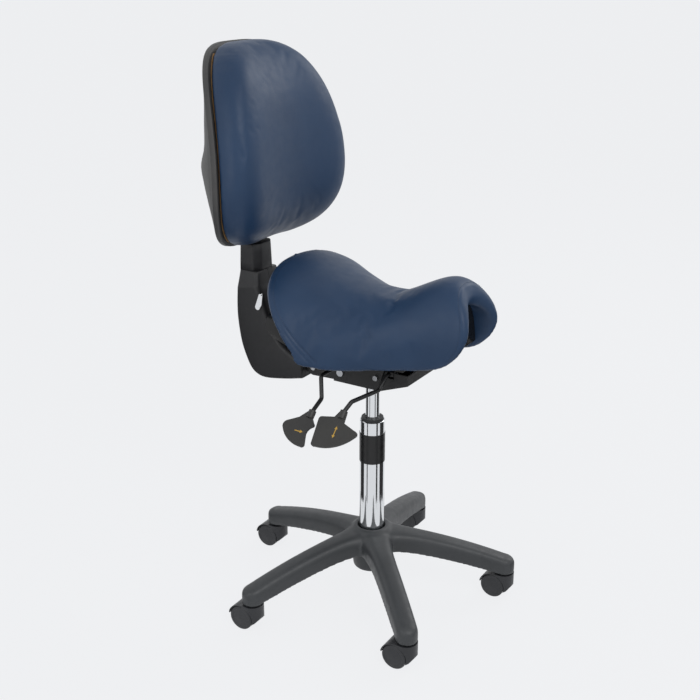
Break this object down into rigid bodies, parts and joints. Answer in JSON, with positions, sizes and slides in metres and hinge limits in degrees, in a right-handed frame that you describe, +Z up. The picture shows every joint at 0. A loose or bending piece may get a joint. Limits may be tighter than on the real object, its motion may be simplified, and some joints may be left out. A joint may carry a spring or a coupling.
{
  "type": "saddle stool",
  "caption": "Saddle stool with a padded backrest on a bent bar, a gas lift column with lever release and a five-arm base on twin-wheel casters.",
  "frame": {"origin": "on the floor at the axis of the column", "axes": "+Z up along the column, -Y towards the front of the seat, the levers on -X"},
  "size_m": [0.5547, 0.5874, 1.0928],
  "materials": {
    "charcoal_nylon": "satin",
    "bright_steel": "zinc plated",
    "chromed_tube": "polished",
    "black_band": "matt",
    "black_plastic": "fine texture",
    "black_rubber": "matt",
    "black_steel": "black powder coat",
    "gloss_shell": "gloss",
    "navy_vinyl": "smooth coated vinyl",
    "grey_shell": "fine leather grain",
    "plywood": "raw",
    "caster_plastic": "satin",
    "caster_wheel": "satin"
  },
  "bodies": {
    "base": {"star_base": "charcoal_nylon", "caster_stems": "bright_steel", "column_tube": "chromed_tube", "column_band": "black_band", "guide_bush": "black_plastic"},
    "piston": {"piston_rod": "bright_steel", "thrust_bearing": "bright_steel", "rubber_buffer": "black_rubber", "retaining_clip": "bright_steel"},
    "lift": {"gas_cylinder": "chromed_tube", "rod_gland": "bright_steel", "taper_socket": "bright_steel", "mechanism_housing": "black_steel", "tilt_axle": "bright_steel", "clamp_bolt": "bright_steel", "lever_pins": "bright_steel", "back_hinge_bracket": "black_steel", "back_pivot_pin": "bright_steel"},
    "release": {"release_button": "bright_steel"},
    "height_lever": {"height_lever_rod": "bright_steel", "height_lever_paddle": "black_plastic"},
    "tilt_lever": {"tilt_lever_rod": "bright_steel", "tilt_lever_paddle": "black_plastic"},
    "seat": {"seat_plate": "black_steel", "seat_shell": "gloss_shell", "seat_cushion": "navy_vinyl", "seat_screws": "bright_steel"},
    "back_arm": {"back_bar": "black_steel", "bracket_cover_left": "black_plastic", "bracket_cover_right": "black_plastic", "bar_sleeve": "black_plastic"},
    "back_lock": {"back_lock_shaft": "chromed_tube", "back_lock_lever": "chromed_tube"},
    "backrest": {"slide_carriage": "black_plastic", "backrest_shell": "grey_shell", "backrest_board": "plywood", "backrest_cushion": "navy_vinyl", "back_screws": "bright_steel"},
    "caster_1": {"caster_1_body": "caster_plastic", "caster_1_axle": "bright_steel"},
    "caster_1_left": {"caster_1_wheel_left": "caster_wheel"},
    "caster_1_right": {"caster_1_wheel_right": "caster_wheel"},
    "caster_2": {"caster_2_body": "caster_plastic", "caster_2_axle": "bright_steel"},
    "caster_2_left": {"caster_2_wheel_left": "caster_wheel"},
    "caster_2_right": {"caster_2_wheel_right": "caster_wheel"},
    "caster_3": {"caster_3_body": "caster_plastic", "caster_3_axle": "bright_steel"},
    "caster_3_left": {"caster_3_wheel_left": "caster_wheel"},
    "caster_3_right": {"caster_3_wheel_right": "caster_wheel"},
    "caster_4": {"caster_4_body": "caster_plastic", "caster_4_axle": "bright_steel"},
    "caster_4_left": {"caster_4_wheel_left": "caster_wheel"},
    "caster_4_right": {"caster_4_wheel_right": "caster_wheel"},
    "caster_5": {"caster_5_body": "caster_plastic", "caster_5_axle": "bright_steel"},
    "caster_5_left": {"caster_5_wheel_left": "caster_wheel"},
    "caster_5_right": {"caster_5_wheel_right": "caster_wheel"}
  },
  "joints": [
    {"name": "seat_swivel", "type": "hinge", "parent": "base", "child": "piston", "pos_m": [0, 0, 0.07], "axis": [0, 0, 1], "continuous": true},
    {"name": "height_lift", "type": "slide", "parent": "piston", "child": "lift", "axis": [0, 0, 1], "range_m": [-0.06, 0.14]},
    {"name": "release_press", "type": "slide", "parent": "lift", "child": "release", "axis": [0, 0, -1], "range_m": [0, 0.0036]},
    {"name": "height_lever_pull", "type": "hinge", "parent": "lift", "child": "height_lever", "pos_m": [-0.044, -0.065, 0.509], "axis": [0, 1, 0], "range_deg": [0, 4], "stiffness_Nm_per_rad": 3},
    {"name": "tilt_lever_pull", "type": "hinge", "parent": "lift", "child": "tilt_lever", "pos_m": [-0.044, 0.042, 0.507], "axis": [0, 1, 0], "range_deg": [0, 5], "stiffness_Nm_per_rad": 3},
    {"name": "seat_tilt", "type": "hinge", "parent": "lift", "child": "seat", "pos_m": [0, -0.04, 0.498], "axis": [1, 0, 0], "range_deg": [-5, 5]},
    {"name": "back_angle", "type": "hinge", "parent": "lift", "child": "back_arm", "pos_m": [0, 0.118, 0.478], "axis": [1, 0, 0], "range_deg": [-12, 4]},
    {"name": "back_lock_turn", "type": "hinge", "parent": "back_arm", "child": "back_lock", "pos_m": [0, 0.236, 0.588], "axis": [1, 0, 0], "range_deg": [-60, 0]},
    {"name": "back_height", "type": "slide", "parent": "back_arm", "child": "backrest", "axis": [0, 0, 1], "range_m": [0, 0.06]},
    {"name": "caster_1_swivel", "type": "hinge", "parent": "base", "child": "caster_1", "pos_m": [0.2688, 0.04161, 0.04], "axis": [0, 0, 1], "continuous": true},
    {"name": "caster_1_roll_left", "type": "hinge", "parent": "caster_1", "child": "caster_1_left", "pos_m": [0.2688, 0.05761, 0.025], "axis": [1, 0, 0], "continuous": true},
    {"name": "caster_1_roll_right", "type": "hinge", "parent": "caster_1", "child": "caster_1_right", "pos_m": [0.2688, 0.05761, 0.025], "axis": [1, 0, 0], "continuous": true},
    {"name": "caster_2_swivel", "type": "hinge", "parent": "base", "child": "caster_2", "pos_m": [0.04349, 0.2685, 0.04], "axis": [0, 0, 1], "continuous": true},
    {"name": "caster_2_roll_left", "type": "hinge", "parent": "caster_2", "child": "caster_2_left", "pos_m": [0.04349, 0.2845, 0.025], "axis": [1, 0, 0], "continuous": true},
    {"name": "caster_2_roll_right", "type": "hinge", "parent": "caster_2", "child": "caster_2_right", "pos_m": [0.04349, 0.2845, 0.025], "axis": [1, 0, 0], "continuous": true},
    {"name": "caster_3_swivel", "type": "hinge", "parent": "base", "child": "caster_3", "pos_m": [-0.24192, 0.12433, 0.04], "axis": [0, 0, 1], "continuous": true},
    {"name": "caster_3_roll_left", "type": "hinge", "parent": "caster_3", "child": "caster_3_left", "pos_m": [-0.24192, 0.14033, 0.025], "axis": [1, 0, 0], "continuous": true},
    {"name": "caster_3_roll_right", "type": "hinge", "parent": "caster_3", "child": "caster_3_right", "pos_m": [-0.24192, 0.14033, 0.025], "axis": [1, 0, 0], "continuous": true},
    {"name": "caster_4_swivel", "type": "hinge", "parent": "base", "child": "caster_4", "pos_m": [-0.193, -0.19166, 0.04], "axis": [0, 0, 1], "continuous": true},
    {"name": "caster_4_roll_left", "type": "hinge", "parent": "caster_4", "child": "caster_4_left", "pos_m": [-0.193, -0.17566, 0.025], "axis": [1, 0, 0], "continuous": true},
    {"name": "caster_4_roll_right", "type": "hinge", "parent": "caster_4", "child": "caster_4_right", "pos_m": [-0.193, -0.17566, 0.025], "axis": [1, 0, 0], "continuous": true},
    {"name": "caster_5_swivel", "type": "hinge", "parent": "base", "child": "caster_5", "pos_m": [0.12264, -0.24278, 0.04], "axis": [0, 0, 1], "continuous": true},
    {"name": "caster_5_roll_left", "type": "hinge", "parent": "caster_5", "child": "caster_5_left", "pos_m": [0.12264, -0.22678, 0.025], "axis": [1, 0, 0], "continuous": true},
    {"name": "caster_5_roll_right", "type": "hinge", "parent": "caster_5", "child": "caster_5_right", "pos_m": [0.12264, -0.22678, 0.025], "axis": [1, 0, 0], "continuous": true}
  ],
  "couplings": [
    {"joint": "release_press", "follows": "height_lever_pull", "m_per_rad": 0.05}
  ]
}
